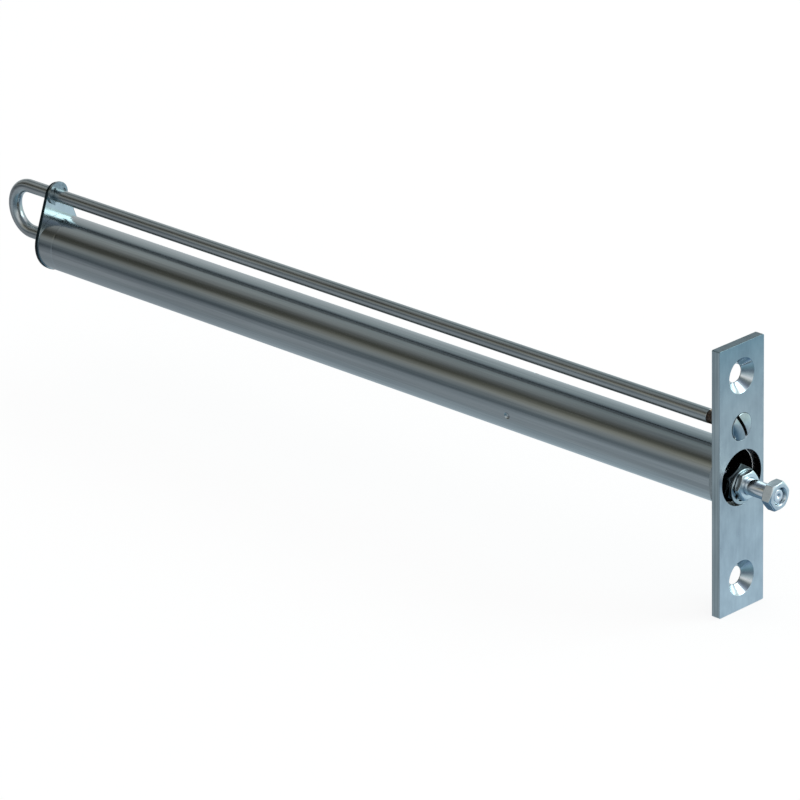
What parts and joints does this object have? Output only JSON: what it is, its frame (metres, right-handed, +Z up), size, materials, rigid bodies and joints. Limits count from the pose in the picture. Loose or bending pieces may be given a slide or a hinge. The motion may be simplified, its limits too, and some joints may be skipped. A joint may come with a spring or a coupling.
{
  "type": "tubular door closer",
  "caption": "Concealed tubular door closer: spring piston rod in a long steel tube behind a screw plate, with a slotted nut and a bent adjusting rod that set its closing speed.",
  "frame": {"origin": "on the tube's axis at the rear face of the fixing plate, midway between the two screw holes", "axes": "+X along the tube's axis, out of the door's edge towards the frame; +Z up along the fixing plate, towards the adjusting bow"},
  "size_m": [0.5335, 0.0312, 0.134],
  "materials": {
    "plate_zinc": "bluish zinc plating on cold-rolled strip, satin",
    "end_plate_zinc": "bluish zinc plating on sheet, satin",
    "weld_bead": "weld bead under zinc plating",
    "tube_zinc": "bright zinc plating on drawn tube, with lengthwise drawing marks",
    "brass": "turned brass",
    "seal_rubber": "black nitrile rubber",
    "plain_steel": "plain turned steel",
    "spring_steel": "oiled spring wire",
    "rod_steel": "ground steel rod",
    "stud_steel": "bright zinc-plated steel, nearly mirror bright",
    "nut_zinc": "bright zinc-plated steel",
    "bow_steel": "grey drawn steel rod, oiled",
    "slotted_nut_steel": "zinc-plated turned steel"
  },
  "bodies": {
    "housing": {"fixing_plate": "plate_zinc", "plate_weld": "weld_bead", "cylinder_tube": "tube_zinc", "end_plate": "end_plate_zinc", "end_plug": "brass", "plug_seal": "seal_rubber", "end_bumper": "seal_rubber", "guide_bush": "brass", "spring_seat": "plain_steel", "main_spring": "spring_steel", "needle_spring": "spring_steel"},
    "rod": {"piston_rod": "rod_steel", "piston": "brass", "cup_seal": "seal_rubber", "seal_retainer": "plain_steel", "piston_nut": "plain_steel", "link_stud": "stud_steel", "rod_nut": "nut_zinc", "tooth_washer": "nut_zinc", "thin_nut": "nut_zinc", "end_nut": "nut_zinc"},
    "bow": {"adjusting_bow": "bow_steel", "bow_clip": "nut_zinc", "valve_needle": "brass"},
    "nut": {"adjusting_nut": "slotted_nut_steel"}
  },
  "joints": [
    {"name": "rod_slide", "type": "slide", "parent": "housing", "child": "rod", "axis": [1, 0, 0], "range_m": [0, 0.15], "stiffness_N_per_m": 2100, "springref_m": -0.004, "deforming": ["main_spring"]},
    {"name": "adjust_slide", "type": "slide", "parent": "housing", "child": "bow", "axis": [1, 0, 0], "range_m": [0, 0.005], "deforming": ["needle_spring"]},
    {"name": "adjust_turn", "type": "hinge", "parent": "housing", "child": "nut", "pos_m": [0, 0, 0.0255], "axis": [-1, 0, 0], "range_deg": [0, 1800]}
  ],
  "couplings": [
    {"joint": "adjust_turn", "follows": "adjust_slide", "rad_per_m": 6283.2}
  ]
}
